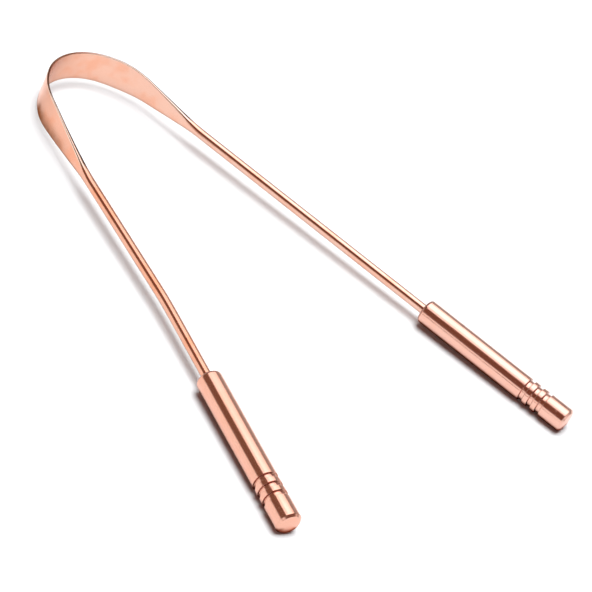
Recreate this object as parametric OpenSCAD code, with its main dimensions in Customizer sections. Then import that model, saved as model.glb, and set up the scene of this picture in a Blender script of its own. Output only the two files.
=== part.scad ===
// Copper tongue scraper. One rod is forged flat in the middle, bent into a bow and
// pressed into a turned handle at each end. Lengths are in millimetres.
// +Y points to the crown of the bow and +Z across the width of the flat strip.

/* [Strip] */
// Width of the flat strip
strip_w = 8; // [5:0.1:14]
// Diameter of the rod that the strip is forged from
rod_d = 2.4; // [1.6:0.1:3.4]
// Length of full width strip on each arm before the taper starts
flat_run = 0.3; // [0.2:0.1:10]
// Length in which the strip narrows and thickens to the round rod
taper_len = 24.5; // [12:0.5:40]
// Share of the taper that eases in at its start and out at its end
taper_ease_share = 0.2; // [0.05:0.05:0.45]

/* [Bow] */
// Middle radius of the bow at its crown
crown_r = 14; // [9:0.5:22]
// Turn of the crown to each side, in degrees
crown_turn = 40; // [20:1:50]
// Middle radius of the bow at its flanks
flank_r = 20; // [10:0.5:30]
// Lean of each handle off the middle line, in degrees
arm_lean = 13.8; // [6:0.1:20]
// Length along the strip and rod from the crown to the face of a handle
arm_len = 108.8; // [85:0.1:150]

/* [Left arm set] */
// Small angle by which the left arm is set inwards over its taper, in degrees
left_set = 3.5; // [0.5:0.1:6]
// Length from the bend that turns it out again to the face of the handle
left_bend_back = 24; // [12:0.5:36]
// Middle radius of that bend
left_bend_r = 120; // [30:5:200]

/* [Spring] */
// Turn of the bow, off its crown, at which each arm hinges, in degrees
flex_turn = 60; // [52:1:66]
// Width of the slit between the strip's crown and each arm
flex_slit = 0.15; // [0.12:0.01:0.4]

/* [Handles] */
// Diameter of a handle
handle_d = 6; // [5:0.1:10]
// Length of the plain barrel
barrel_len = 30.1; // [22:0.1:60]
// Number of turned grooves
groove_count = 3; // [1:1:5]
// Width of one groove
groove_w = 1.25; // [0.6:0.05:2]
// Width of the ridge between two grooves
ridge_w = 1.2; // [0.5:0.05:3]
// Depth of a groove
groove_depth = 0.45; // [0.1:0.05:0.8]
// Length that each sloped groove wall takes
groove_slope = 0.15; // [0.05:0.01:0.25]
// Length of the plain collar past the last groove, to the tip
collar_len = 6.35; // [3:0.05:12]
// Radius on the edge of the face towards the bow
face_round = 0.9; // [0.3:0.1:1.2]
// Chamfer on the edge of the free end
end_chamfer = 0.5; // [0.2:0.05:1]
// Height of the low dome on the free end
end_dome = 0.3; // [0.1:0.05:0.6]
// Depth of the blind socket
socket_depth = 12.4; // [8:0.1:20]
// Gap between the rod's end and the bottom of the socket
socket_gap = 0.4; // [0.2:0.05:1]
// Included angle of the drilled bottom of the socket, in degrees
drill_angle = 118; // [90:1:140]

/* [Hidden] */
$fn = 96;

copper = [0.86, 0.53, 0.4];
handle_copper = [0.84, 0.5, 0.37];

// Share of a rod's bounding square that its round section fills
round_share = PI / 4;
// Points round each edge of a lofted section
edge_points = 12;
// Turn and length of one step of the loft
step_turn = 2;
taper_steps = 22;
// Steps of a rounded corner and of the dome
round_steps = 6;
// Smallest turn that counts as a curve, in degrees
least_turn = 0.001;
// Length by which the thinner of two joined stretches runs on inside the other
join_sink = 0.2;
// Amount by which it is thinner, so that the surface of the other stays whole
join_shy = 0.01;

handle_r = handle_d / 2;
rod_r = rod_d / 2;
groove_zone = groove_count * groove_w + (groove_count - 1) * ridge_w;
handle_len = barrel_len + groove_zone + collar_len;
tenon_len = socket_depth - socket_gap;

crown_len = arc_len(crown_r, crown_turn);
flank_turn = 90 - arm_lean - crown_turn;
flank_len = arc_len(flank_r, flank_turn);
bow_len = crown_len + flank_len;
flex_at = crown_len + arc_len(flank_r, flex_turn - crown_turn);
taper_from = flex_at + flex_slit / 2 + flat_run;
taper_to = taper_from + taper_len;
set_len = max(taper_to - bow_len, flat_run);
bend_len = arc_len(left_bend_r, left_set);
bend_from = arm_len - left_bend_back - bend_len / 2;
whole_len = arm_len + handle_len;

// Each arm's path is a list of legs, and each leg is a length and the degrees it turns inwards.
bow_legs = [[crown_len, crown_turn], [flank_len, flank_turn]];
right_legs = concat(bow_legs, [[whole_len - bow_len, 0]]);
left_legs = concat(
    bow_legs,
    [
        [set_len, left_set],
        [bend_from - bow_len - set_len, 0],
        [bend_len, -left_set],
        [whole_len - bend_from - bend_len, 0]
    ]
);

// The frame's origin is under the middle of the whole scraper.
right_tip = spot(right_legs, whole_len);
left_tip = spot(left_legs, whole_len);
tip_reach = (handle_r - end_chamfer) * sin(arm_lean);
crown_out = thick(strip_w) / 2;
mid_x = (right_tip[0] - left_tip[0]) / 2;
mid_y = (crown_out + min(right_tip[1], left_tip[1]) - tip_reach) / 2;
mid_z = strip_w / 2;

function arc_len(r, turn) = r * turn * PI / 180;

function turn_for(r, length) = length / r * 180 / PI;

function forward(h) = [cos(h), -sin(h)];

function outward(h) = [sin(h), cos(h)];

// Way made along a leg that starts at heading h
function made(h, length, turn) =
    abs(turn) < least_turn
    ? length * forward(h)
    : length * 180 / PI / turn * (outward(h + turn) - outward(h));

// Place and heading at the distance s from the crown, as [x, y, heading]
function spot(legs, s, i = 0, h = 0, p = [0, 0]) =
    let (length = legs[i][0], turn = legs[i][1])
    s <= length || i == len(legs) - 1
    ? let (part = length > 0 ? turn * s / length : 0, q = p + made(h, s, part))
      [q[0], q[1], h + part]
    : spot(legs, s - length, i + 1, h + turn, p + made(h, length, turn));

// Ramp from 0 to 1 with a soft start and a soft end
function ramp(t, e) =
    t <= 0 ? 0
    : t >= 1 ? 1
    : t < e ? t * t / (2 * e * (1 - e))
    : t > 1 - e ? 1 - (1 - t) * (1 - t) / (2 * e * (1 - e))
    : (t - e / 2) / (1 - e);

// Width of the strip at the distance s from the crown
function wide(s) =
    strip_w - (strip_w - rod_d) * ramp((s - taper_from) / taper_len, taper_ease_share);

// Thickness of a strip of width w, forged from the rod without loss of metal
function thick(w) =
    (w - sqrt(w * w - 4 * (1 - round_share) * round_share * rod_d * rod_d))
    / (2 * (1 - round_share));

// Outline of a section, as [outwards, upwards] points on its two half round edges
function section(w, t) = [
    for (side = [1, -1])
        for (k = [0 : edge_points - 1])
            let (a = (k + 0.5) * 180 / edge_points + (side > 0 ? 0 : 180))
            [t / 2 * cos(a), side * (w - t) / 2 + t / 2 * sin(a)]
];

function ring(legs, s, w, t) =
    let (place = spot(legs, s), out = outward(place[2]))
    [for (q = section(w, t)) [place[0] + out[0] * q[0], place[1] + out[1] * q[0], q[1]]];

// Skin over rings that all have the same number of points
module loft(rings) {
    count = len(rings[0]);
    last = len(rings) - 1;
    skin = [
        for (i = [0 : last - 1])
            for (k = [0 : count - 1])
                let (a = i * count + k, b = i * count + (k + 1) % count)
                each [[a, b + count, b], [a, a + count, b + count]]
    ];
    first_cap = [for (k = [0 : count - 1]) k];
    last_cap = [for (k = [count - 1 : -1 : 0]) last * count + k];
    polyhedron(
        points = [for (r = rings) each r],
        faces = concat([first_cap], skin, [last_cap]),
        convexity = 4
    );
}

// Moves a child that stands on +Z to the distance s, pointing along the path
module ride(legs, s) {
    place = spot(legs, s);
    translate([place[0], place[1], 0])
        rotate([0, 90, -place[2]])
            children();
}

module set_down() {
    translate([-mid_x, -mid_y, mid_z])
        children();
}

module strip_section(r, shy) {
    t = thick(strip_w) - shy;
    flat_w = strip_w - thick(strip_w);
    translate([r, 0])
        union() {
            square([t, flat_w], center = true);
            for (side = [1, -1])
                translate([0, side * flat_w / 2])
                    circle(d = t);
        }
}

// Middle of the strip: the crown arc and a piece of each flank up to the slits
module scraper_blade() {
    sink_turn = turn_for(flank_r, join_sink);
    side_turn = flex_turn - crown_turn - turn_for(flank_r, flex_slit / 2);
    flank_x = (crown_r - flank_r) * sin(crown_turn);
    flank_y = -crown_r + (crown_r - flank_r) * cos(crown_turn);
    color(copper)
        set_down()
            union() {
                translate([0, -crown_r, 0])
                    rotate([0, 0, 90 - crown_turn])
                        rotate_extrude(angle = 2 * crown_turn)
                            strip_section(crown_r, 0);
                for (side = [0, 1])
                    mirror([side, 0, 0])
                        translate([flank_x, flank_y, 0])
                            rotate([0, 0, 90 - crown_turn - side_turn])
                                rotate_extrude(angle = side_turn + sink_turn)
                                    strip_section(flank_r, join_shy);
            }
}

// Rest of the flat strip and its taper, as far as the start of the round rod
module taper(legs) {
    start = flex_at + flex_slit / 2;
    bow_steps = ceil((90 - arm_lean - flex_turn) / step_turn);
    bow_stops = [for (i = [0 : bow_steps - 1]) start + (bow_len - start) * i / bow_steps];
    rest_stops = [for (i = [0 : taper_steps]) bow_len + (taper_to - bow_len) * i / taper_steps];
    rings = [
        for (s = concat(bow_stops, rest_stops))
            let (w = wide(s), shy = join_shy * ramp((s - taper_from) / taper_len, taper_ease_share))
            ring(legs, s, w - shy, thick(w) - shy)
    ];
    loft(concat(rings, [ring(legs, taper_to + join_sink, rod_d - join_shy, rod_d - join_shy)]));
}

module rod(legs, from, to) {
    ride(legs, from)
        cylinder(h = to - from, d = rod_d);
}

module left_arm() {
    bend_start = spot(left_legs, bend_from);
    centre = [bend_start[0], bend_start[1]] + left_bend_r * outward(bend_start[2]);
    sink_turn = turn_for(left_bend_r, join_sink);
    color(copper)
        set_down()
            mirror([1, 0, 0])
                union() {
                    taper(left_legs);
                    rod(left_legs, taper_to, bend_from);
                    translate([centre[0], centre[1], 0])
                        rotate([0, 0, 270 - bend_start[2] - sink_turn])
                            rotate_extrude(angle = left_set + 2 * sink_turn)
                                translate([left_bend_r, 0])
                                    circle(d = rod_d - join_shy);
                    rod(left_legs, bend_from + bend_len, arm_len + tenon_len);
                }
}

module right_arm() {
    color(copper)
        set_down()
            union() {
                taper(right_legs);
                rod(right_legs, taper_to, arm_len + tenon_len);
            }
}

// Half section of a handle, as [radius, distance from its face] points
function handle_outline() =
    let (
        flat_r = handle_r - end_chamfer,
        dome_r = (flat_r * flat_r + end_dome * end_dome) / (2 * end_dome),
        chamfer_from = handle_len - end_dome - end_chamfer,
        cone_len = rod_r / tan(drill_angle / 2)
    )
    concat(
        [[rod_r, 0]],
        [
            for (i = [0 : round_steps])
                let (a = 90 * i / round_steps)
                [handle_r - face_round * (1 - sin(a)), face_round * (1 - cos(a))]
        ],
        [
            for (i = [0 : groove_count - 1])
                let (x = barrel_len + i * (groove_w + ridge_w))
                each [
                    [handle_r, x],
                    [handle_r - groove_depth, x + groove_slope],
                    [handle_r - groove_depth, x + groove_w - groove_slope],
                    [handle_r, x + groove_w]
                ]
        ],
        [[handle_r, chamfer_from]],
        [
            for (i = [0 : round_steps])
                let (r = flat_r * (1 - i / round_steps))
                [r, handle_len - dome_r + sqrt(dome_r * dome_r - r * r)]
        ],
        [[0, socket_depth + cone_len], [rod_r, socket_depth]]
    );

module handle(legs) {
    ride(legs, arm_len)
        rotate_extrude()
            polygon(handle_outline());
}

module left_handle() {
    color(handle_copper)
        set_down()
            mirror([1, 0, 0])
                handle(left_legs);
}

module right_handle() {
    color(handle_copper)
        set_down()
            handle(right_legs);
}

scraper_blade();
left_arm();
right_arm();
left_handle();
right_handle();
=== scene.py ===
import math

import bpy
import bmesh
from mathutils import Euler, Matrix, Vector


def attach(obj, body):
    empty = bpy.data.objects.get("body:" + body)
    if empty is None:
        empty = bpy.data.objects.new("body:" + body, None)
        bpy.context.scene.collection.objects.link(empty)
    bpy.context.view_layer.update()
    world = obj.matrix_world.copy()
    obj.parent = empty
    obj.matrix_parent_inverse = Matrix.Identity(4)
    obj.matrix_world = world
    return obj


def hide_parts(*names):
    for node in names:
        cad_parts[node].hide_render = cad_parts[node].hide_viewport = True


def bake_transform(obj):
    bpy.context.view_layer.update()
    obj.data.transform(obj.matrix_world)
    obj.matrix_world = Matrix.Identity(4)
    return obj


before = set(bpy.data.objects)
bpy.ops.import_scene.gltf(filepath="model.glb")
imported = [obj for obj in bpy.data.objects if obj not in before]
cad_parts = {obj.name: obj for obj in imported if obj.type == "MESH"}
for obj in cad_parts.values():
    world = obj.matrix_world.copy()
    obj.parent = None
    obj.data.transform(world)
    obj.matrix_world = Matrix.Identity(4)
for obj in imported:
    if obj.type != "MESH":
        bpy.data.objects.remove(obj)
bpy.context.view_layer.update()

MM = 0.001
# An arm's side is the sign of its x
LEFT, RIGHT = -1, 1

# The strip and its bent path, in millimetres and degrees, as in the part's source. The left arm is set
# outward from the bow to LEFT_SET_TO, and bends back before its handle.
STRIP_W = 8.0
ROD_D = 2.4
CROWN_R, CROWN_TURN = 14.0, 40.0
FLANK_R = 20.0
ARM_LEAN = 13.8
ARM_LEN = 108.8
LEFT_SET, LEFT_SET_TO = 3.5, 41.63
LEFT_BEND_BACK, LEFT_BEND_R = 24.0, 120.0
FLEX_TURN = 60.0
# Share of the taper that its soft start takes, and its soft end too
TAPER_EASE = 0.2

# The photo shows the flat part nearer the left arm, so each taper starts at its own distance from the
# crown's middle. In the part's source the two start alike, and they are a little shorter.
TAPER_FROM = {LEFT: 19.4, RIGHT: 12.3}
TAPER_LEN = 27.5

# The strip's edges are half round at 0 and squarer above it, with so many points round each
EDGE_FLAT = 0.2
EDGE_POINTS = 17

# Stops along the path: close ones beside the seam, then a fine step on the bends and the taper and a long
# one on the straight rod. Fine steps reach a little past the left arm's bend, and none ends very short.
SEAM_STOPS, STEPS_FROM = [0.0, 0.02, 0.06, 0.12, 0.2], 0.4
FINE_STEP, LONG_STEP, LAST_STEP = 0.25, 1.5, 0.3
BESIDE_BEND = 2.0

# The turned handles, in millimetres and degrees, as in the part's source
HANDLE_D = 6.0
BARREL_LEN = 30.1
GROOVES, GROOVE_W, RIDGE_W, GROOVE_DEPTH, GROOVE_SLOPE = 3, 1.25, 1.2, 0.45, 0.15
COLLAR_LEN = 6.35
FACE_ROUND, END_CHAMFER, END_DOME = 0.9, 0.5, 0.3
SOCKET_DEPTH, SOCKET_GAP, DRILL_ANGLE = 12.4, 0.4, 118.0

# Small rounds on the handles' corners that the solids leave out
SOCKET_ROUND, MOUTH_ROUND, LIP_ROUND, FLOOR_ROUND, END_ROUND = 0.05, 0.1, 0.06, 0.12, 0.1
# The most that a round takes of the shorter side at its corner, and its steps
ROUND_SHARE, ROUND_STEPS = 0.45, 4
# How far beside a round the next stop lies, which lets the long runs shade straight
HEM_LEAST, HEM_SHARE, HEM_MOST, FACE_HEM = 0.005, 0.2, 0.03, 0.12
FACE_STEPS, DOME_STEPS = 12, 8
HANDLE_SEGMENTS = 96

# The frame's origin as seen from the crown's middle, which stands MID_Z above it
MID_X, MID_Y, MID_Z = 1.57544, -70.0412, 4.0

# The photo shows a sliver of light under the strip, so the table is this far below it
STRIP_OFF_TABLE = 1.75

# Colours of the metal on the right arm, and the warmer ones on the left: a painted tint for the warmer light
# that the left arm mirrors
STRIP_COPPER, STRIP_WARM = (0.77, 0.47, 0.365, 1), (0.78, 0.347, 0.212, 1)
HANDLE_COPPER, HANDLE_WARM = (0.79, 0.455, 0.36, 1), (0.79, 0.39, 0.276, 1)
# Colours of the painted shade, and the tint of what the metal mirrors there and where it is plain. On the
# handles the dark colour also browns the grooves.
STRIP_PAINTED_SHADE, STRIP_SHADE_MIRROR_TINT = (0.30, 0.16, 0.11, 1), (0.3, 0.17, 0.13, 1)
HANDLE_DARK_AND_SHADE, HANDLE_SHADE_MIRROR_TINT = (0.20, 0.045, 0.028, 1), (0.6, 0.25, 0.2, 1)
PLAIN_MIRROR = (1, 1, 1, 1)
# The upper edge of each flank: a painted highlight, with a painted dark reflection along its far side
PAINTED_EDGE_HIGHLIGHT, FAR_LINE = (0.93, 0.79, 0.67, 1), (0.09, 0.06, 0.045, 1)

# The softbox over the table: its height and the gap between its layers in metres, and its turn in degrees
SOFTBOX_UP, SOFTBOX_GAP, SOFTBOX_TURN = 1.0, 0.01, -15.0


# The bent path of each arm

def arc_len(radius, turn):
    return radius * math.radians(turn)


CROWN_LEN = arc_len(CROWN_R, CROWN_TURN)
FLANK_TURN = 90 - ARM_LEAN - CROWN_TURN
BOW_LEN = CROWN_LEN + arc_len(FLANK_R, FLANK_TURN)
FLEX_AT = CROWN_LEN + arc_len(FLANK_R, FLEX_TURN - CROWN_TURN)
SET_LEN = LEFT_SET_TO - BOW_LEN
BEND_LEN = arc_len(LEFT_BEND_R, LEFT_SET)
BEND_FROM = ARM_LEN - LEFT_BEND_BACK - BEND_LEN / 2
GROOVE_ZONE = GROOVES * GROOVE_W + (GROOVES - 1) * RIDGE_W
HANDLE_LEN = BARREL_LEN + GROOVE_ZONE + COLLAR_LEN
WHOLE_LEN = ARM_LEN + HANDLE_LEN

# Each leg of a path is its length and the angle that it turns through
BOW_LEGS = [(CROWN_LEN, CROWN_TURN), (BOW_LEN - CROWN_LEN, FLANK_TURN)]
RIGHT_LEGS = BOW_LEGS + [(WHOLE_LEN - BOW_LEN, 0.0)]
LEFT_LEGS = BOW_LEGS + [
    (SET_LEN, LEFT_SET),
    (BEND_FROM - BOW_LEN - SET_LEN, 0.0),
    (BEND_LEN, -LEFT_SET),
    (WHOLE_LEN - BEND_FROM - BEND_LEN, 0.0),
]
ARMS = (("left", LEFT, LEFT_LEGS), ("right", RIGHT, RIGHT_LEGS))


def spot(legs, run):
    """Place and heading on the right-hand path at the distance run from the crown's middle."""
    x, y, heading = 0.0, 0.0, 0.0
    for number, (length, turn) in enumerate(legs):
        part = run if number == len(legs) - 1 else min(run, length)
        swing = turn * part / length
        a, b = math.radians(heading), math.radians(heading + swing)
        if turn == 0:
            x, y = x + part * math.cos(a), y - part * math.sin(a)
        else:
            radius = length / math.radians(turn)
            x, y = x + radius * (math.sin(b) - math.sin(a)), y + radius * (math.cos(b) - math.cos(a))
        heading += swing
        run -= part
        if run <= 0:
            break
    return x, y, heading


def laid(legs, run, side):
    """The same place in the frame, in metres, with the directions along and out of the path."""
    x, y, heading = spot(legs, run)
    turn = math.radians(heading)
    place = Vector((side * x - MID_X, y - MID_Y, MID_Z)) * MM
    along = Vector((side * math.cos(turn), -math.sin(turn), 0))
    out = Vector((side * math.sin(turn), math.cos(turn), 0))
    return place, along, out


def strip_width(run, side):
    t = min(max((run - TAPER_FROM[side]) / TAPER_LEN, 0), 1)
    e = TAPER_EASE
    if t < e:
        ramp = t * t / (2 * e * (1 - e))
    elif t > 1 - e:
        ramp = 1 - (1 - t) ** 2 / (2 * e * (1 - e))
    else:
        ramp = (t - e / 2) / (1 - e)
    return STRIP_W - (STRIP_W - ROD_D) * ramp


# Short ways to write node trees

def add(tree, kind, **settings):
    made = tree.nodes.new(kind)
    for name, value in settings.items():
        setattr(made, name, value)
    return made


def feed(tree, socket, value):
    if isinstance(value, bpy.types.NodeSocket):
        tree.links.new(value, socket)
    else:
        socket.default_value = value


def sums(tree):
    """A short way to write a sum in a node tree: step("ADD", a, b) gives the socket that holds a + b."""

    def step(operation, *values, clamp=False):
        made = add(tree, "ShaderNodeMath", operation=operation, use_clamp=clamp)
        for socket, value in zip(made.inputs, values):
            feed(tree, socket, value)
        return made.outputs[0]

    return step


def scaled(tree, vector, factor):
    made = add(tree, "ShaderNodeVectorMath", operation="SCALE")
    feed(tree, made.inputs[0], vector)
    feed(tree, made.inputs["Scale"], factor)
    return made.outputs[0]


def together(tree, *vectors):
    total = vectors[0]
    for vector in vectors[1:]:
        made = add(tree, "ShaderNodeVectorMath", operation="ADD")
        feed(tree, made.inputs[0], total)
        feed(tree, made.inputs[1], vector)
        total = made.outputs[0]
    return total


def xyz(tree, x, y, z):
    made = add(tree, "ShaderNodeCombineXYZ")
    for socket, value in zip(made.inputs, (x, y, z)):
        feed(tree, socket, value)
    return made.outputs[0]


def split(tree, vector):
    made = add(tree, "ShaderNodeSeparateXYZ")
    feed(tree, made.inputs[0], vector)
    return tuple(made.outputs)


# Geometry trees: each sweeps a ring along a drawn rail, then moves every point to its place

def geometry_tree(name, sizes):
    tree = bpy.data.node_groups.new(name, "GeometryNodeTree")
    tree.is_modifier = True
    tree.interface.new_socket("Geometry", in_out="INPUT", socket_type="NodeSocketGeometry")
    for label, kind in sizes:
        tree.interface.new_socket(label, in_out="INPUT", socket_type="NodeSocket" + kind)
    tree.interface.new_socket("Geometry", in_out="OUTPUT", socket_type="NodeSocketGeometry")
    return tree, add(tree, "NodeGroupInput").outputs, add(tree, "NodeGroupOutput").inputs[0]


def kept(tree, geometry, kind, name, value):
    """Captures a value on the points of a curve, so that the swept skin still has it."""
    capture = add(tree, "GeometryNodeCaptureAttribute", domain="POINT")
    capture.capture_items.new(kind, name)
    feed(tree, capture.inputs["Geometry"], geometry)
    feed(tree, capture.inputs[name], value)
    return capture.outputs["Geometry"], capture.outputs[name]


def rail_from(tree, mesh):
    """The drawn edge chain as a curve, and the place of each of its points before the sweep."""
    curve = add(tree, "GeometryNodeMeshToCurve")
    feed(tree, curve.inputs["Mesh"], mesh)
    here = add(tree, "GeometryNodeInputPosition").outputs[0]
    return kept(tree, curve.outputs[0], "VECTOR", "Place", here)


def swept(tree, rail, points, capped):
    """The rail swept with a ring of so many points, and each point's number in its ring."""
    circle = add(tree, "GeometryNodeCurvePrimitiveCircle")
    feed(tree, circle.inputs["Resolution"], points)
    circle.inputs["Radius"].default_value = MM
    index = add(tree, "GeometryNodeInputIndex").outputs[0]
    ring, number = kept(tree, circle.outputs[0], "INT", "Number", index)
    sweep = add(tree, "GeometryNodeCurveToMesh")
    feed(tree, sweep.inputs["Curve"], rail)
    feed(tree, sweep.inputs["Profile Curve"], ring)
    sweep.inputs["Fill Caps"].default_value = capped
    return sweep.outputs[0], number


def moved(tree, geometry, place):
    made = add(tree, "GeometryNodeSetPosition")
    feed(tree, made.inputs["Geometry"], geometry)
    feed(tree, made.inputs["Position"], place)
    return made.outputs[0]


def carried(tree, kind, name):
    """Reads a value that the drawn rail carries."""
    made = add(tree, "GeometryNodeInputNamedAttribute", data_type=kind)
    made.inputs["Name"].default_value = name
    return made.outputs[0]


def stored(tree, geometry, kind, name, value):
    store = add(tree, "GeometryNodeStoreNamedAttribute", data_type=kind, domain="POINT")
    feed(tree, store.inputs["Geometry"], geometry)
    store.inputs["Name"].default_value = name
    feed(tree, store.inputs["Value"], value)
    return store.outputs[0]


def finished(tree, geometry, material, out):
    """Welds coincident points, keeps sharp corners crisp, sets the finish and ends the tree."""
    weld_within, crisp_over = 1e-6, math.radians(35)
    weld = add(tree, "GeometryNodeMergeByDistance")
    feed(tree, weld.inputs["Geometry"], geometry)
    weld.inputs["Distance"].default_value = weld_within
    smooth = add(tree, "GeometryNodeSetShadeSmooth", domain="FACE")
    feed(tree, smooth.inputs["Geometry"], weld.outputs[0])
    corner = add(tree, "ShaderNodeMath", operation="GREATER_THAN")
    feed(tree, corner.inputs[0], add(tree, "GeometryNodeInputMeshEdgeAngle").outputs[0])
    corner.inputs[1].default_value = crisp_over
    crisp = add(tree, "GeometryNodeSetShadeSmooth", domain="EDGE")
    feed(tree, crisp.inputs["Geometry"], smooth.outputs[0])
    feed(tree, crisp.inputs["Selection"], corner.outputs[0])
    crisp.inputs["Shade Smooth"].default_value = False
    real = add(tree, "GeometryNodeRealizeInstances")
    feed(tree, real.inputs["Geometry"], crisp.outputs[0])
    dress = add(tree, "GeometryNodeSetMaterial")
    feed(tree, dress.inputs["Geometry"], real.outputs[0])
    feed(tree, dress.inputs["Material"], material)
    feed(tree, out, dress.outputs[0])


def forged_strip_tree():
    """A skin over the path, forged without loss of metal: a flat strip, a taper and a round rod."""
    tree, given, out = geometry_tree("Forged strip", [
        ("Strip Width", "Float"), ("Rod Diameter", "Float"), ("Taper From", "Float"),
        ("Taper Length", "Float"), ("Ease Share", "Float"), ("Edge Flat", "Float"),
        ("Edge Points", "Int"), ("Finish", "Material")])
    m = sums(tree)
    half_ring = given["Edge Points"]
    rail, place = rail_from(tree, given["Geometry"])
    skin, number = swept(tree, rail, m("MULTIPLY", half_ring, 2), capped=True)
    run, outward = carried(tree, "FLOAT", "run"), carried(tree, "FLOAT_VECTOR", "outward")

    # Width at this distance: a ramp with a soft start and a soft end
    ease = given["Ease Share"]
    t = m("DIVIDE", m("SUBTRACT", run, given["Taper From"]), given["Taper Length"], clamp=True)
    left = m("SUBTRACT", 1, t)
    soft = m("MULTIPLY", m("MULTIPLY", ease, 2), m("SUBTRACT", 1, ease))
    start = m("DIVIDE", m("MULTIPLY", t, t), soft)
    end = m("SUBTRACT", 1, m("DIVIDE", m("MULTIPLY", left, left), soft))
    straight = m("DIVIDE", m("SUBTRACT", t, m("MULTIPLY", ease, 0.5)), m("SUBTRACT", 1, ease))
    in_start = m("LESS_THAN", t, ease)
    in_end = m("LESS_THAN", left, ease)
    between = m("SUBTRACT", m("SUBTRACT", 1, in_start), in_end)
    ramp = m("ADD", m("MULTIPLY", start, in_start),
             m("ADD", m("MULTIPLY", end, in_end), m("MULTIPLY", straight, between)))
    slim = m("MULTIPLY", ramp, m("SUBTRACT", given["Strip Width"], given["Rod Diameter"]))
    wide = m("SUBTRACT", given["Strip Width"], slim)

    # Thickness at that width, where a flat with two half round edges has the rod's own area. A disc
    # fills this share of its square.
    disc = math.pi / 4
    metal = m("MULTIPLY", m("POWER", given["Rod Diameter"], 2), 4 * (1 - disc) * disc)
    root = m("SQRT", m("MAXIMUM", m("SUBTRACT", m("POWER", wide, 2), metal), 0))
    thick = m("DIVIDE", m("SUBTRACT", wide, root), 2 * (1 - disc))

    # Angle of each point. The first and last of each edge lie close to their neighbours.
    hem = math.radians(1.5)
    lower = m("LESS_THAN", m("ADD", half_ring, -0.5), number)
    k = m("SUBTRACT", number, m("MULTIPLY", half_ring, lower))
    part = m("DIVIDE", m("SUBTRACT", k, 1), m("SUBTRACT", half_ring, 3), clamp=True)
    hems = m("ADD", m("GREATER_THAN", k, 0.5), m("GREATER_THAN", k, m("SUBTRACT", half_ring, 1.5)))
    angle = m("ADD", m("MULTIPLY", part, math.pi - 2 * hem), m("MULTIPLY", hems, hem))
    turn = m("ADD", angle, m("MULTIPLY", lower, math.pi))

    # Place of each point, outwards through the strip's thickness and upwards along its width
    sign = m("SUBTRACT", 1, m("MULTIPLY", lower, 2))
    radius = m("MULTIPLY", thick, 0.5)
    flat = m("MULTIPLY", m("SUBTRACT", wide, thick), 0.5)
    half = m("MULTIPLY", wide, 0.5)
    flatness = m("DIVIDE", flat, half, clamp=True)
    square = m("SUBTRACT", 1, m("MULTIPLY", m("POWER", flatness, 3), given["Edge Flat"]))

    def squared(value):
        return m("MULTIPLY", m("SIGN", value), m("POWER", m("ABSOLUTE", value), square))

    outwards = m("MULTIPLY", radius, squared(m("COSINE", turn)))
    upwards = m("ADD", m("MULTIPLY", sign, flat), m("MULTIPLY", radius, squared(m("SINE", turn))))
    skin = moved(tree, skin, together(
        tree, place, scaled(tree, outward, outwards), xyz(tree, 0, 0, upwards)))

    # For the finish: edge is 1 on the two narrow edges and 0 on the faces. corner is above 0 on the
    # outer corner of the upper edge and the inner one of the lower, and below 0 on the other two. rim
    # goes from 1 on an edge's outer side to -1 on its inner side. flatness is 0 on the round rod.
    edge = m("MULTIPLY", m("POWER", m("ABSOLUTE", m("SINE", turn)), 0.5), flatness)
    corner = m("MULTIPLY", m("SINE", m("MULTIPLY", turn, 2)), flatness)
    rim = m("MULTIPLY", m("COSINE", turn), m("GREATER_THAN", edge, 0.25))
    skin = stored(tree, skin, "FLOAT_VECTOR", "lay", xyz(tree, run, outwards, upwards))
    for name, value in (("edge", edge), ("corner", corner), ("rim", rim), ("flatness", flatness),
                        ("half", half)):
        skin = stored(tree, skin, "FLOAT", name, value)
    finished(tree, skin, given["Finish"], out)
    return tree


def turned_piece_tree():
    """A half section turned about the handle's axis. The section is drawn as distance along and radius."""
    tree, given, out = geometry_tree("Turned handle", [
        ("Front", "Vector"), ("Axis", "Vector"), ("Segments", "Int"), ("Finish", "Material")])
    m = sums(tree)
    rail, drawn = rail_from(tree, given["Geometry"])
    skin, number = swept(tree, rail, given["Segments"], capped=False)
    along, radius, _ = split(tree, drawn)
    turn = m("DIVIDE", m("MULTIPLY", number, 2 * math.pi), given["Segments"])
    sideways = m("MULTIPLY", radius, m("COSINE", turn))
    upwards = m("MULTIPLY", radius, m("SINE", turn))
    across = add(tree, "ShaderNodeVectorMath", operation="CROSS_PRODUCT")
    feed(tree, across.inputs[0], given["Axis"])
    across.inputs[1].default_value = (0, 0, 1)
    skin = moved(tree, skin, together(
        tree, given["Front"], scaled(tree, given["Axis"], along),
        scaled(tree, across.outputs[0], sideways), xyz(tree, 0, 0, upwards)))
    skin = stored(tree, skin, "FLOAT_VECTOR", "lay", xyz(tree, along, sideways, upwards))
    finished(tree, skin, given["Finish"], out)
    return tree


def made_mesh(name, rail, tree, sizes):
    """Runs a tree over a drawn rail and keeps the result as a plain mesh with its faces outward."""
    drawn = bpy.data.objects.new(name + "_rail", rail)
    bpy.context.scene.collection.objects.link(drawn)
    grow = drawn.modifiers.new("Grow", "NODES")
    grow.node_group = tree
    for item in tree.interface.items_tree:
        if item.in_out == "INPUT" and item.name in sizes:
            grow[item.identifier] = sizes[item.name]
    bpy.context.view_layer.update()
    mesh = bpy.data.meshes.new_from_object(drawn.evaluated_get(bpy.context.evaluated_depsgraph_get()))
    bpy.data.objects.remove(drawn)
    mesh.name = name
    shape = bmesh.new()
    shape.from_mesh(mesh)
    bmesh.ops.recalc_face_normals(shape, faces=shape.faces)
    if shape.calc_volume(signed=True) < 0:
        bmesh.ops.reverse_faces(shape, faces=shape.faces)
    shape.to_mesh(mesh)
    shape.free()
    piece = bpy.data.objects.new(name, mesh)
    bpy.context.scene.collection.objects.link(piece)
    return piece


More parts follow.
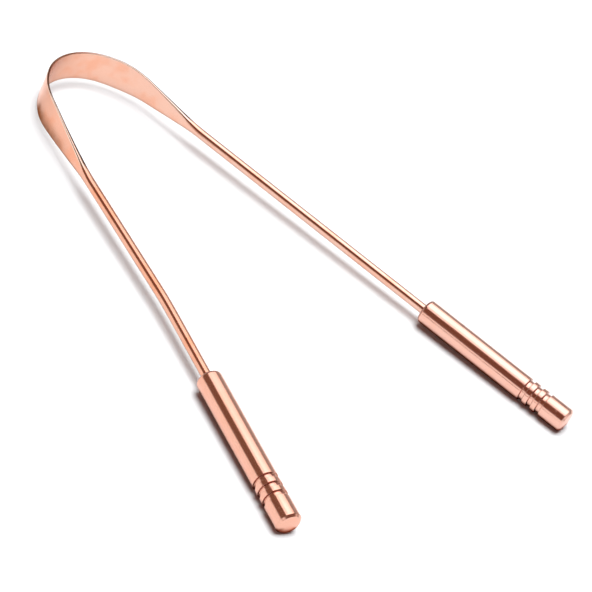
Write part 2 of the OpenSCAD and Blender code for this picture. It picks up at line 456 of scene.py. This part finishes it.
def rail_of(name, points, **values):
    """An edge chain through the points, with one value of each kind at every point."""
    rail = bpy.data.meshes.new(name)
    rail.from_pydata([tuple(p) for p in points], [(i, i + 1) for i in range(len(points) - 1)], [])
    for label, numbers in values.items():
        vectors = isinstance(numbers[0], Vector)
        layer = rail.attributes.new(label, "FLOAT_VECTOR" if vectors else "FLOAT", "POINT")
        layer.data.foreach_set("vector" if vectors else "value",
                               [c for v in numbers for c in v] if vectors else numbers)
    return rail


# The strip: two halves that meet at the crown's middle

def path_stops(side):
    """Distances along the path from the crown's middle to the rod's end in the handle."""
    rod_end = ARM_LEN + SOCKET_DEPTH - SOCKET_GAP
    bend_to = BEND_FROM + BEND_LEN
    stops, run = list(SEAM_STOPS), STEPS_FROM
    while run < rod_end - LAST_STEP:
        stops.append(run)
        bent = side == LEFT and BEND_FROM - BESIDE_BEND < run < bend_to + BESIDE_BEND
        curved = bent or run < TAPER_FROM[side] + TAPER_LEN
        run += FINE_STEP if curved else LONG_STEP
    return stops + [rod_end]


def strip_half(name, legs, side, tree, finish):
    stops = path_stops(side)
    at = [laid(legs, s, side) for s in stops]
    rail = rail_of(name, [a[0] for a in at], run=[s * MM for s in stops], outward=[a[2] for a in at])
    return made_mesh(name, rail, tree, {
        "Strip Width": STRIP_W * MM, "Rod Diameter": ROD_D * MM, "Taper From": TAPER_FROM[side] * MM,
        "Taper Length": TAPER_LEN * MM, "Ease Share": TAPER_EASE, "Edge Flat": EDGE_FLAT,
        "Edge Points": EDGE_POINTS, "Finish": finish})


# The turned handles

def softened(outline, rounds):
    """Rounds each corner of an outline by its own radius, with a stop close beside each round."""
    made = []
    for i, point in enumerate(outline):
        radius = rounds[i]
        if i in (0, len(outline) - 1) or radius <= 0:
            made.append(point)
            continue
        a, b, c = Vector(outline[i - 1]), Vector(point), Vector(outline[i + 1])
        back, on = (a - b).normalized(), (c - b).normalized()
        shorter = min((a - b).length, (c - b).length)
        cut = min(radius / math.tan(back.angle(on) / 2), ROUND_SHARE * shorter)
        start, end = b + back * cut, b + on * cut
        hem = min(HEM_MOST, HEM_SHARE * cut + HEM_LEAST)
        made.append(tuple(start + back * hem))
        for k in range(ROUND_STEPS + 1):
            t = k / ROUND_STEPS
            made.append(tuple(start * (1 - t) ** 2 + b * 2 * t * (1 - t) + end * t * t))
        made.append(tuple(end + on * hem))
    return made


def handle_section():
    """Half section of a handle from the socket's end to the tip, as distances from its face and radii."""
    r, rod = HANDLE_D / 2, ROD_D / 2
    flat = r - END_CHAMFER
    dome_r = (flat * flat + END_DOME * END_DOME) / (2 * END_DOME)
    cone = rod / math.tan(math.radians(DRILL_ANGLE / 2))
    floor = r - GROOVE_DEPTH
    # Each corner is its place and its round
    corners = [((SOCKET_DEPTH + cone, 0), 0), ((SOCKET_DEPTH, rod), SOCKET_ROUND), ((0, rod), MOUTH_ROUND)]
    for i in range(1, FACE_STEPS + 1):
        a = math.radians(90 * i / FACE_STEPS)
        corners.append(((FACE_ROUND * (1 - math.cos(a)), r - FACE_ROUND * (1 - math.sin(a))), 0))
    corners.append(((FACE_ROUND + FACE_HEM, r), 0))
    for i in range(GROOVES):
        x = BARREL_LEN + i * (GROOVE_W + RIDGE_W)
        corners += [
            ((x, r), LIP_ROUND), ((x + GROOVE_SLOPE, floor), FLOOR_ROUND),
            ((x + GROOVE_W - GROOVE_SLOPE, floor), FLOOR_ROUND), ((x + GROOVE_W, r), LIP_ROUND)]
    end = HANDLE_LEN - END_DOME
    corners += [((end - END_CHAMFER, r), END_ROUND), ((end, flat), END_ROUND)]
    for i in range(1, DOME_STEPS + 1):
        d = flat * (1 - i / DOME_STEPS)
        corners.append(((HANDLE_LEN - dome_r + math.sqrt(dome_r * dome_r - d * d), d), 0))
    return softened([c[0] for c in corners], [c[1] for c in corners])


def turned_handle(name, legs, side, tree, finish):
    front, along, _ = laid(legs, ARM_LEN, side)
    rail = rail_of(name, [(x * MM, r * MM, 0) for x, r in handle_section()])
    return made_mesh(name, rail, tree, {
        "Front": tuple(front), "Axis": tuple(along), "Segments": HANDLE_SEGMENTS, "Finish": finish})


# Finishes

def shader_group(name, given, puts):
    group = bpy.data.node_groups.new(name, "ShaderNodeTree")
    for label, kind, value in given:
        socket = group.interface.new_socket(label, in_out="INPUT", socket_type="NodeSocket" + kind)
        socket.default_value = value
    for label, kind in puts:
        group.interface.new_socket(label, in_out="OUTPUT", socket_type="NodeSocket" + kind)
    return group, add(group, "NodeGroupInput").outputs, add(group, "NodeGroupOutput").inputs


def noise(tree, place, scale, detail=3.0):
    made = add(tree, "ShaderNodeTexNoise")
    feed(tree, made.inputs["Vector"], place)
    feed(tree, made.inputs["Scale"], scale)
    made.inputs["Detail"].default_value = detail
    return made.outputs["Fac"]


def spread(tree, value, low, high, to_low=0.0, to_high=1.0):
    """A soft step: to_low where the value is at low, and to_high where it is at high."""
    made = add(tree, "ShaderNodeMapRange", interpolation_type="SMOOTHSTEP")
    for socket, number in zip(made.inputs, (value, low, high, to_low, to_high)):
        feed(tree, socket, number)
    return made.outputs[0]


def fall(tree, value, low, high, most=1.0):
    """A soft step down to nothing."""
    return spread(tree, value, low, high, most, 0.0)


def blended(tree, share, a, b):
    made = add(tree, "ShaderNodeMix", data_type="RGBA")
    feed(tree, made.inputs["Factor"], share)
    feed(tree, made.inputs[6], a)
    feed(tree, made.inputs[7], b)
    return made.outputs[2]


def copper_tone_group():
    """Colour of copper: warmer from the right arm to the left as a painted tint, warmer in patches too, and
    brown where shade is painted.
    """
    group, given, puts = shader_group("Copper tone", [
        ("Place", "Vector", (0, 0, 0)), ("Across", "Vector", (0, 0, 0)), ("Metal", "Color", STRIP_COPPER),
        ("Warmer", "Color", STRIP_WARM), ("Brown", "Color", STRIP_PAINTED_SHADE), ("Patch Size", "Float", 200.0),
        ("Patches", "Float", 0.5), ("Arm Shift", "Float", 0.5), ("Tarnish", "Float", 0.0)],
        [("Color", "Color"), ("Patch", "Float")])
    m = sums(group)
    x, _, _ = split(group, given["Across"])
    # Painted tint: warmer towards the left arm, for the warmer light that it mirrors
    arm = m("MULTIPLY", spread(group, x, 20 * MM, -20 * MM), given["Arm Shift"])
    patch = spread(group, noise(group, given["Place"], given["Patch Size"], 2.0), 0.42, 0.7)
    warm = m("ADD", m("MULTIPLY", patch, given["Patches"]), arm, clamp=True)
    shade = blended(group, warm, given["Metal"], given["Warmer"])
    # Brown where shade is painted
    feed(group, puts["Color"], blended(group, given["Tarnish"], shade, given["Brown"]))
    feed(group, puts["Patch"], patch)
    return group


def drawn_lines_group():
    """Fine lines that run one way over the metal, from drawing, turning or polishing, and stray scratches."""
    group, given, puts = shader_group("Drawn lines", [
        ("Lay", "Vector", (0, 0, 0)), ("Along", "Float", 40.0), ("Across", "Float", 4000.0),
        ("Scratches", "Float", 0.3)], [("Height", "Float"), ("Streak", "Float")])
    m = sums(group)
    run, outwards, upwards = split(group, given["Lay"])

    def grain(more_along, more_across, detail):
        along = m("MULTIPLY", given["Along"], more_along)
        across = m("MULTIPLY", given["Across"], more_across)
        place = xyz(group, m("MULTIPLY", run, along), m("MULTIPLY", outwards, across),
                    m("MULTIPLY", upwards, across))
        return noise(group, place, 1.0, detail)

    fine, broad, stray = grain(1, 1, 2.0), grain(0.4, 0.25, 3.0), grain(9, 0.6, 1.0)
    scratch = m("MULTIPLY", spread(group, stray, 0.74, 0.8), given["Scratches"])
    height = m("SUBTRACT", m("ADD", m("MULTIPLY", fine, 0.6), m("MULTIPLY", broad, 0.4)), scratch)
    feed(group, puts["Height"], height)
    feed(group, puts["Streak"], broad)
    return group


def attribute(tree, name):
    return add(tree, "ShaderNodeAttribute", attribute_name=name).outputs


def object_place(tree):
    return add(tree, "ShaderNodeTexCoord").outputs["Object"]


def use_group(tree, group, **values):
    made = add(tree, "ShaderNodeGroup")
    made.node_tree = group
    for label, value in values.items():
        feed(tree, made.inputs[label.replace("_", " ")], value)
    return made.outputs


def plain_material(name):
    made = bpy.data.materials.new(name)
    made.use_nodes = True
    tree = made.node_tree
    shader = next(n for n in tree.nodes if n.type == "BSDF_PRINCIPLED")
    return made, tree, shader


def bumped(tree, shader, height, strength, depth):
    bump = add(tree, "ShaderNodeBump")
    bump.inputs["Strength"].default_value = strength
    bump.inputs["Distance"].default_value = depth
    feed(tree, bump.inputs["Height"], height)
    feed(tree, shader.inputs["Normal"], bump.outputs[0])


def strip_finish(tone, lines):
    """Satin on the flat, brighter on the rod, with painted shade on the edges and low on the left flank."""
    made, tree, shader = plain_material("Polished strip")
    m = sums(tree)
    lay, place = attribute(tree, "lay")["Vector"], object_place(tree)
    run, _, upwards = split(tree, lay)
    x, _, _ = split(tree, place)
    edge, corner, rim, flatness, half = (
        attribute(tree, name)["Fac"] for name in ("edge", "corner", "rim", "flatness", "half"))

    # Zones. Past the crown the left flank shows its other face, so there near and far change places.
    at_crown = m("MULTIPLY", fall(tree, x, 1 * MM, 8 * MM), fall(tree, run, 14 * MM, 21 * MM))
    on_left = spread(tree, x, 0.0, -14 * MM)
    left_flank = m("MULTIPLY", on_left, spread(tree, run, 14 * MM, 18 * MM))
    swapped = m("SUBTRACT", 1, m("MULTIPLY", left_flank, 2))
    lower_half = m("LESS_THAN", upwards, 0)
    above_edge = m("ADD", upwards, half)

    # Painted shade, for the dark surroundings and shadow that these parts mirror: the narrow edges at the
    # crown and the lower one elsewhere, a hem over the lower one, a darkening low on the left flank, and two
    # corners, which are the upper edge's far one and the lower edge's near one
    edges = m("MULTIPLY", edge, m("MAXIMUM", at_crown, m("MULTIPLY", lower_half, 0.8)))
    hem = m("MULTIPLY", fall(tree, above_edge, 0.2 * MM, 1 * MM), m("ADD", m("MULTIPLY", on_left, 0.7), 0.3))
    flank_shade = m("ADD", fall(tree, above_edge, 0.0, 5 * MM, 0.3), fall(tree, run, 19 * MM, 28 * MM, 0.24))
    flank_shade = m("ADD", flank_shade, fall(tree, above_edge, 0.0, 3.6 * MM, 0.75))
    flank_shade = m("MULTIPLY", flank_shade, m("MULTIPLY", left_flank, fall(tree, run, 28 * MM, 37 * MM)))
    corners = m("MULTIPLY", m("POWER", m("MULTIPLY", corner, swapped, clamp=True), 0.8), 0.95)
    brown = m("MAXIMUM", corners, m("MAXIMUM", edges, m("MAXIMUM", hem, flank_shade)))
    brown = m("MULTIPLY", brown, spread(tree, noise(tree, lay, 700), 0.3, 0.7, 0.75, 1.0))

    # The flanks' upper edges: a painted highlight on the near side and a painted dark reflection along the
    # far side
    on_top = m("MULTIPLY", spread(tree, edge, 0.2, 0.5),
               m("MULTIPLY", m("SUBTRACT", 1, lower_half), m("SUBTRACT", 1, at_crown)))
    far_side = m("MULTIPLY", rim, swapped)
    far_line = m("MULTIPLY", on_top, spread(tree, far_side, -0.5, -0.05))
    painted_highlight = m("MULTIPLY", on_top, fall(tree, far_side, -0.5, -0.05))

    # The tone group browns the metal by the share of painted shade from above
    shade = use_group(tree, tone, Place=lay, Across=place, Metal=STRIP_COPPER, Warmer=STRIP_WARM,
                      Brown=STRIP_PAINTED_SHADE, Patch_Size=230.0, Patches=0.45, Arm_Shift=0.6,
                      Tarnish=m("MULTIPLY", brown, 0.85))
    # Painted highlight and painted dark reflection along the flanks' upper edges
    colour = blended(tree, m("MULTIPLY", painted_highlight, 0.9), shade["Color"], PAINTED_EDGE_HIGHLIGHT)
    colour = blended(tree, m("MULTIPLY", far_line, 0.95), colour, FAR_LINE)
    feed(tree, shader.inputs["Base Color"], colour)
    # The mirrored light is tinted darker where the shade and the dark line are painted
    tint = blended(tree, m("MAXIMUM", brown, far_line), PLAIN_MIRROR, STRIP_SHADE_MIRROR_TINT)
    feed(tree, shader.inputs["Specular Tint"], tint)
    marks = use_group(tree, lines, Lay=lay, Along=90.0, Across=5200.0, Scratches=0.5)
    rough = m("ADD", m("MULTIPLY", flatness, 0.07), m("MULTIPLY", marks["Streak"], 0.06))
    rough = m("ADD", rough, m("MULTIPLY", shade["Patch"], m("MULTIPLY", flatness, 0.03)))
    feed(tree, shader.inputs["Roughness"], m("SUBTRACT", m("ADD", rough, 0.14), m("MULTIPLY", edge, 0.09)))
    shader.inputs["Metallic"].default_value = 1.0
    bumped(tree, shader, marks["Height"], 0.08, 0.02 * MM)
    return made


def handle_finish(tone, lines):
    """Turned on the lathe, then polished lengthwise, darker in the grooves and with painted shade on the
    underside.
    """
    made, tree, shader = plain_material("Polished handle")
    m = sums(tree)
    lay = attribute(tree, "lay")["Vector"]
    run, sideways, upwards = split(tree, lay)
    radius = m("SQRT", m("ADD", m("POWER", sideways, 2), m("POWER", upwards, 2)))
    skin = HANDLE_D / 2 * MM

    # A groove's sloping walls lie this deep in the skin. So does the free end's chamfer, which is left out.
    wall_from, wall_to, soft = 0.06 * MM, 0.4 * MM, 0.04 * MM
    on_wall = m("MULTIPLY", spread(tree, radius, skin - wall_to - soft, skin - wall_to + soft),
                fall(tree, radius, skin - wall_from - soft, skin - wall_from + soft))
    end_from, end_to = (HANDLE_LEN - END_CHAMFER * 3) * MM, (HANDLE_LEN - END_CHAMFER) * MM
    on_wall = m("MULTIPLY", on_wall, fall(tree, run, end_from, end_to))
    in_grooves = m("MULTIPLY", on_wall, spread(tree, noise(tree, lay, 1500, 2.0), 0.3, 0.7, 0.4, 0.75))
    # Painted shade: the underside is browner and mirrors darker, for the dark shade under the handle that it
    # would mirror
    under = fall(tree, m("DIVIDE", upwards, radius), -0.62, -0.22, 0.9)
    underside = m("MULTIPLY", under, spread(tree, radius, 0.3 * skin, 0.8 * skin))

    shade = use_group(tree, tone, Place=lay, Across=object_place(tree), Metal=HANDLE_COPPER,
                      Warmer=HANDLE_WARM, Patch_Size=240.0, Patches=0.25, Arm_Shift=0.55)
    # Brown on the grooves' walls, and painted shade on the underside
    brown = m("MAXIMUM", in_grooves, underside)
    feed(tree, shader.inputs["Base Color"], blended(tree, brown, shade["Color"], HANDLE_DARK_AND_SHADE))
    feed(tree, shader.inputs["Specular Tint"], blended(tree, under, PLAIN_MIRROR, HANDLE_SHADE_MIRROR_TINT))
    marks = use_group(tree, lines, Lay=lay, Along=70.0, Across=4200.0, Scratches=0.6)
    rough = m("ADD", m("MULTIPLY", marks["Streak"], 0.09), m("ADD", m("MULTIPLY", on_wall, 0.1), 0.13))
    feed(tree, shader.inputs["Roughness"], rough)
    shader.inputs["Metallic"].default_value = 1.0
    bumped(tree, shader, marks["Height"], 0.45, 0.03 * MM)
    return made


def table_finish():
    made, tree, shader = plain_material("Pale table")
    cool, warm = (0.90, 0.905, 0.915, 1), (0.93, 0.93, 0.935, 1)
    cloud = noise(tree, object_place(tree), 6.0, 2.0)
    feed(tree, shader.inputs["Base Color"], blended(tree, cloud, cool, warm))
    feed(tree, shader.inputs["Roughness"], spread(tree, cloud, 0.3, 0.7, 0.55, 0.62))
    shader.inputs["Specular IOR Level"].default_value = 0.0
    return made


# The scraper

tone = copper_tone_group()
lines = drawn_lines_group()
strip_metal = strip_finish(tone, lines)
handle_metal = handle_finish(tone, lines)
forged = forged_strip_tree()
turned = turned_piece_tree()

for label, side, legs in ARMS:
    half = strip_half(label + "_strip", legs, side, forged, strip_metal)
    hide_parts("scraper_blade", label + "_arm")
    flex, along, _ = laid(legs, FLEX_AT, side)
    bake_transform(half)

    grip = turned_handle(label + "_grip", legs, side, turned, handle_metal)
    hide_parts(label + "_handle")
    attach(grip, label + "_side")


# Table, light and camera

def table_slope():
    """The scraper rests on its handles' ends, and the table leans so that the strip is just clear of it."""
    stops, apart = 120, 0.4
    tips = [laid(legs, WHOLE_LEN - END_DOME - END_CHAMFER, side)[0].y for _, side, legs in ARMS]
    tip_y = min(tips)
    under = (MID_Z - HANDLE_D / 2) * MM
    slope = 0
    for i in range(stops):
        run = apart * i
        low = (MID_Z - strip_width(run, RIGHT) / 2 - STRIP_OFF_TABLE) * MM
        y = laid(RIGHT_LEGS, run, RIGHT)[0].y
        slope = max(slope, (under - low) / (y - tip_y))
    return tip_y, under, slope


def table():
    reach, squares, clear = 3.0, 24, 0.02 * MM
    tip_y, under, slope = table_slope()
    sheet = bpy.data.meshes.new("table")
    shape = bmesh.new()
    bmesh.ops.create_grid(shape, x_segments=squares, y_segments=squares, size=reach)
    for corner in shape.verts:
        corner.co.z = under - slope * (corner.co.y - tip_y) - clear
    shape.to_mesh(sheet)
    shape.free()
    top = bpy.data.objects.new("table", sheet)
    bpy.context.scene.collection.objects.link(top)
    sheet.materials.append(table_finish())


def panel(name, place, aim, size, glow, tint=(1, 1, 1), turn=0.0, lights="metal"):
    """A soft light that only the metal mirrors, or that only lights the table. glow is its brightness."""
    lamp = bpy.data.lights.new(name, "AREA")
    lamp.shape = "RECTANGLE"
    lamp.size, lamp.size_y = size
    lamp.energy = glow * math.pi * size[0] * size[1]
    lamp.color = tint
    stand = bpy.data.objects.new(name, lamp)
    stand.location = place
    look = (Vector(aim) - Vector(place)).to_track_quat("-Z", "Y")
    stand.rotation_euler = (look.to_matrix() @ Euler((0, 0, turn)).to_matrix()).to_euler()
    stand.visible_camera = False
    stand.visible_diffuse = lights != "metal"
    stand.visible_glossy = lights != "table"
    bpy.context.scene.collection.objects.link(stand)


def overhead(name, layer, near, far, front, back, glow, tint=(1, 1, 1)):
    """A layer of the softbox over the table, from its near to its far side and from its front to its back."""
    up = SOFTBOX_UP + layer * SOFTBOX_GAP
    turn = math.radians(SOFTBOX_TURN)
    a, b = (near + far) / 2, (front + back) / 2
    x, y = a * math.cos(turn) - b * math.sin(turn), a * math.sin(turn) + b * math.cos(turn)
    panel(name, (x, y, up), (x, y, 0), (far - near, back - front), glow, tint, turn)


def room_light():
    """Walls of several tones that the metal mirrors. The camera sees white beyond the table."""
    room = bpy.data.worlds.new("studio")
    bpy.context.scene.world = room
    room.use_nodes = True
    tree = room.node_tree
    back = next(n for n in tree.nodes if n.type == "BACKGROUND")
    look = add(tree, "ShaderNodeTexCoord").outputs["Generated"]

    def toward(x, y, z, low, high):
        """How far a ray heads this way, as a soft step."""
        made = add(tree, "ShaderNodeVectorMath", operation="DOT_PRODUCT")
        feed(tree, made.inputs[0], look)
        made.inputs[1].default_value = (x, y, z)
        return spread(tree, made.outputs["Value"], low, high)

    # The near wall is copper brown over a white skirting
    copper_brown, soft_brown, skirting = (0.195, 0.07, 0.046, 1), (0.24, 0.14, 0.10, 1), (1.22, 1.22, 1.22, 1)
    near = blended(tree, toward(-0.5, 0.86, 0, 0.1, 0.8), copper_brown, soft_brown)
    near = blended(tree, toward(-0.05, 0.086, 1, 0.27, 0.33), skirting, near)

    # The far wall is grey below and brown above
    grey, brown = (0.47, 0.48, 0.49, 1), (0.18, 0.11, 0.09, 1)
    far = blended(tree, toward(0, 0, 1, 0.44, 0.55), grey, brown)
    walls = blended(tree, toward(0.87, 0.47, 0, 0.0, 0.5), near, far)

    # The front wall is grey, white and brown from the floor up. It shows most in a view from behind.
    dim, bright, top = (0.42, 0.41, 0.41, 1), (1.15, 1.15, 1.17, 1), (0.24, 0.15, 0.12, 1)
    front = blended(tree, toward(0, 0, 1, 0.06, 0.2), dim, bright)
    front = blended(tree, toward(0, 0, 1, 0.32, 0.44), front, top)
    walls = blended(tree, toward(0, -1, 0, 0.55, 0.75), walls, front)

    # What the room throws on the table is dim and warm, and it fills the shadows
    warm_fill, white = (0.145, 0.07, 0.055, 1), (1.0, 1.0, 1.0, 1)
    ray = add(tree, "ShaderNodeLightPath").outputs
    walls = blended(tree, ray["Is Diffuse Ray"], walls, warm_fill)
    feed(tree, back.inputs["Color"], blended(tree, ray["Is Camera Ray"], walls, white))


def studio():
    room_light()
    overhead("softbox", layer=0, near=-0.46, far=0.68, front=-0.1, back=1.05, glow=1.5, tint=(1, 1, 1.04))
    overhead("softbox_heart", layer=1, near=-0.15, far=0.68, front=-0.1, back=0.62, glow=0.8,
             tint=(0.97, 1, 1.15))
    overhead("softbox_wing", layer=0, near=0.68, far=1.06, front=0.62, back=1.08, glow=1.45)
    middle, cool = (0, 0, 0), (0.93, 1, 1.02)
    panel("table_lamp", (-0.48, 0.0, 3.3), middle, size=(1.8, 1.8), glow=8.9, tint=cool, lights="table")
    panel("table_fill", (0.78, 0.36, 3.0), middle, size=(2.4, 2.4), glow=3.55, tint=cool, lights="table")


def camera():
    """The photo's view, fitted to points that were measured on it."""
    place, turn = (-0.4299286, -0.2930937, 0.3908939), (49.955045, -21.281691, -40.288307)
    lens = bpy.data.cameras.new("camera")
    lens.sensor_width = 36.0
    lens.lens = 172.5968
    lens.clip_start, lens.clip_end = 0.01, 50.0
    eye = bpy.data.objects.new("camera", lens)
    eye.location = place
    eye.rotation_euler = [math.radians(a) for a in turn]
    bpy.context.scene.collection.objects.link(eye)
    bpy.context.scene.camera = eye


table()
studio()
camera()
bpy.context.scene.view_settings.view_transform = "Standard"
